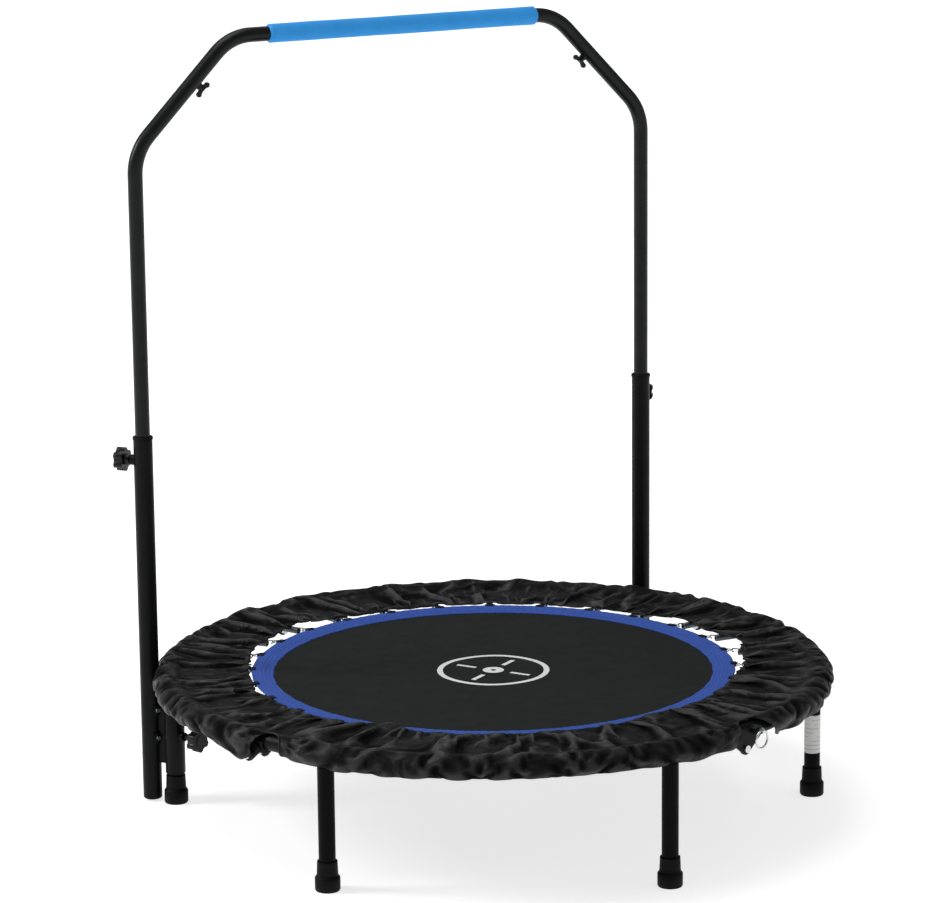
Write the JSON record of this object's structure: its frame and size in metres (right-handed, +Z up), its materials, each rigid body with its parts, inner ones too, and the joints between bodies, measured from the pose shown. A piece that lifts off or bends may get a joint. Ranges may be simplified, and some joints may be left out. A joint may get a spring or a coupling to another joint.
{
  "type": "mini trampoline",
  "caption": "Round folding mini trampoline on short legs, with a spring-hung mat, a fabric spring cover and a height-adjustable handlebar.",
  "frame": {"origin": "on the floor under the centre of the mat", "axes": "+Z up, +Y from the mat's centre towards the handlebar, +X to the right when facing the handlebar"},
  "size_m": [1.0148, 1.0148, 1.1585],
  "materials": {
    "tube_black": "satin powder coat",
    "hinge_black": "satin powder coat",
    "zinc": "bright zinc plate",
    "spring_steel": "galvanised wire",
    "foot_rubber": "moulded rubber",
    "label_white": "blank printed film",
    "mat_black": "woven polypropylene",
    "band_blue": "woven webbing",
    "cover_black": "coated polyester",
    "plastic_black": "moulded plastic",
    "grip_blue": "closed-cell foam"
  },
  "bodies": {
    "rear_half": {"ring_arc_back_right": "tube_black", "ring_arc_back_left": "tube_black", "hinge_bracket_right": "hinge_black", "hinge_bracket_back": "hinge_black", "hinge_bracket_left": "hinge_black", "hinge_tongue_back": "hinge_black", "hinge_fasteners_rear": "zinc", "pin_spring_back": "spring_steel", "mat_rear": "mat_black", "mat_band_rear": "band_blue", "mat_rings_rear": "zinc", "springs_rear": "spring_steel", "cover_rear": "cover_black", "lower_post_left": "tube_black", "lower_post_right": "tube_black", "clamp_bracket_left": "tube_black", "clamp_bracket_right": "tube_black", "bracket_screws": "zinc", "post_bushings": "plastic_black", "post_end_caps": "plastic_black"},
    "front_half": {"ring_arc_front_left": "tube_black", "ring_arc_front_right": "tube_black", "hinge_bracket_front": "hinge_black", "hinge_tongue_right": "hinge_black", "hinge_tongue_left": "hinge_black", "hinge_tongue_front": "hinge_black", "hinge_fasteners_front": "zinc", "pin_spring_front": "spring_steel", "mat_front": "mat_black", "mat_band_front": "band_blue", "mat_rings_front": "zinc", "springs_front": "spring_steel", "cover_front": "cover_black"},
    "handlebar": {"upright_left": "tube_black", "upright_right": "tube_black", "top_bar": "tube_black", "foam_grip": "grip_blue"},
    "height_knob_left": {"height_knob_left": "plastic_black"},
    "height_knob_right": {"height_knob_right": "plastic_black"},
    "clamp_knob_left": {"clamp_knob_left": "plastic_black"},
    "clamp_knob_right": {"clamp_knob_right": "plastic_black"},
    "wing_screw_left": {"wing_screw_left": "plastic_black"},
    "wing_screw_right": {"wing_screw_right": "plastic_black"},
    "pull_pin_back": {"pull_pin_back": "zinc", "pull_ring_back": "zinc"},
    "pull_pin_front": {"pull_pin_front": "zinc", "pull_ring_front": "zinc"},
    "leg_post_right": {"leg_post_right": "tube_black", "foot_post_right": "foot_rubber"},
    "leg_back": {"leg_back": "tube_black", "foot_back": "foot_rubber"},
    "leg_post_left": {"leg_post_left": "tube_black", "foot_post_left": "foot_rubber"},
    "leg_front_left": {"leg_front_left": "tube_black", "foot_front_left": "foot_rubber"},
    "leg_front": {"leg_front": "tube_black", "foot_front": "foot_rubber"},
    "leg_right": {"leg_right": "tube_black", "foot_right": "foot_rubber", "leg_label": "label_white"}
  },
  "joints": [
    {"name": "frame_fold", "type": "hinge", "parent": "rear_half", "child": "front_half", "pos_m": [0, 0, 0.179], "axis": [0.9659, 0.2588, 0], "range_deg": [0, 105]},
    {"name": "handlebar_height", "type": "slide", "parent": "rear_half", "child": "handlebar", "axis": [0, 0, 1], "range_m": [-0.15, 0]},
    {"name": "height_knob_left_turn", "type": "hinge", "parent": "rear_half", "child": "height_knob_left", "pos_m": [-0.44009, 0.27056, 0.525], "axis": [-0.6239, 0.7815, 0], "continuous": true},
    {"name": "clamp_knob_left_turn", "type": "hinge", "parent": "rear_half", "child": "clamp_knob_left", "pos_m": [-0.41569, 0.24, 0.105], "axis": [0.342, -0.9397, 0], "continuous": true},
    {"name": "wing_screw_left_turn", "type": "hinge", "parent": "handlebar", "child": "wing_screw_left", "pos_m": [-0.34109, 0.27056, 1.08299], "axis": [0.7071, 0, -0.7071], "continuous": true},
    {"name": "height_knob_right_turn", "type": "hinge", "parent": "rear_half", "child": "height_knob_right", "pos_m": [0.44009, 0.27056, 0.525], "axis": [0.6239, 0.7815, 0], "continuous": true},
    {"name": "clamp_knob_right_turn", "type": "hinge", "parent": "rear_half", "child": "clamp_knob_right", "pos_m": [0.41569, 0.24, 0.105], "axis": [-0.342, -0.9397, 0], "continuous": true},
    {"name": "wing_screw_right_turn", "type": "hinge", "parent": "handlebar", "child": "wing_screw_right", "pos_m": [0.34109, 0.27056, 1.08299], "axis": [-0.7071, 0, -0.7071], "continuous": true},
    {"name": "pull_pin_back_pull", "type": "slide", "parent": "rear_half", "child": "pull_pin_back", "axis": [-0.2588, 0.9659, 0], "range_m": [0, 0.003], "stiffness_N_per_m": 400, "springref_m": -0.002, "deforming": ["pin_spring_back"]},
    {"name": "pull_pin_front_pull", "type": "slide", "parent": "front_half", "child": "pull_pin_front", "axis": [0.2588, -0.9659, 0], "range_m": [0, 0.003], "stiffness_N_per_m": 400, "springref_m": -0.002, "deforming": ["pin_spring_front"]},
    {"name": "leg_post_right_pull_off", "type": "slide", "parent": "rear_half", "child": "leg_post_right", "axis": [0, 0, -1], "range_m": [0, 0.04]},
    {"name": "leg_back_pull_off", "type": "slide", "parent": "rear_half", "child": "leg_back", "axis": [0, 0, -1], "range_m": [0, 0.04]},
    {"name": "leg_post_left_pull_off", "type": "slide", "parent": "rear_half", "child": "leg_post_left", "axis": [0, 0, -1], "range_m": [0, 0.04]},
    {"name": "leg_front_left_pull_off", "type": "slide", "parent": "front_half", "child": "leg_front_left", "axis": [0, 0, -1], "range_m": [0, 0.04]},
    {"name": "leg_front_pull_off", "type": "slide", "parent": "front_half", "child": "leg_front", "axis": [0, 0, -1], "range_m": [0, 0.04]},
    {"name": "leg_right_pull_off", "type": "slide", "parent": "front_half", "child": "leg_right", "axis": [0, 0, -1], "range_m": [0, 0.04]}
  ]
}
